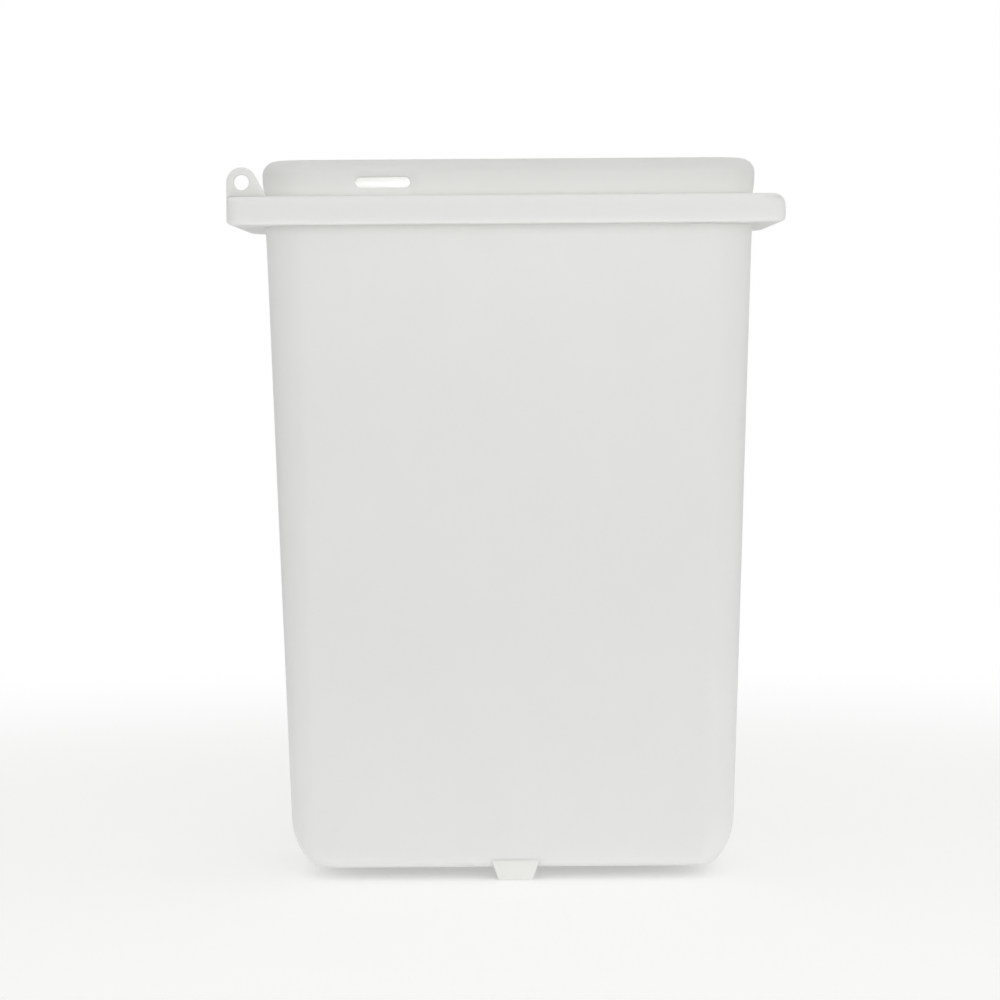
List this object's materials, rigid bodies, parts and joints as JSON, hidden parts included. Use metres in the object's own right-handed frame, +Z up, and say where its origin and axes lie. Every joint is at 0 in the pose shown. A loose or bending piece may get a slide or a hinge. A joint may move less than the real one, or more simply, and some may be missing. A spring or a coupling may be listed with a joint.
{
  "type": "dog waste bin liner",
  "caption": "Tall tapered translucent plastic liner tub for a dog waste bin, with an in-turned lip, a slotted neck, a carrying collar, a pierced lug and a locating tongue under its base.",
  "frame": {"origin": "bottom centre of the whole object's box: on the collar's centre lines, level with the lowest face of the locating tongue", "axes": "+X to the right seen from the front, +Y towards the back (the slotted front faces -Y), +Z up"},
  "size_m": [0.4046, 0.26, 0.531],
  "materials": {
    "tub_plastic": "satin, milky translucent polyethylene",
    "collar_plastic": "satin, milky translucent polyethylene",
    "lug_plastic": "satin, milky translucent polyethylene",
    "tongue_plastic": "satin, milky translucent polyethylene"
  },
  "bodies": {
    "root": {"liner_tub": "tub_plastic", "collar_frame": "collar_plastic", "tether_lug": "lug_plastic", "locating_tongue": "tongue_plastic"}
  },
  "joints": []
}
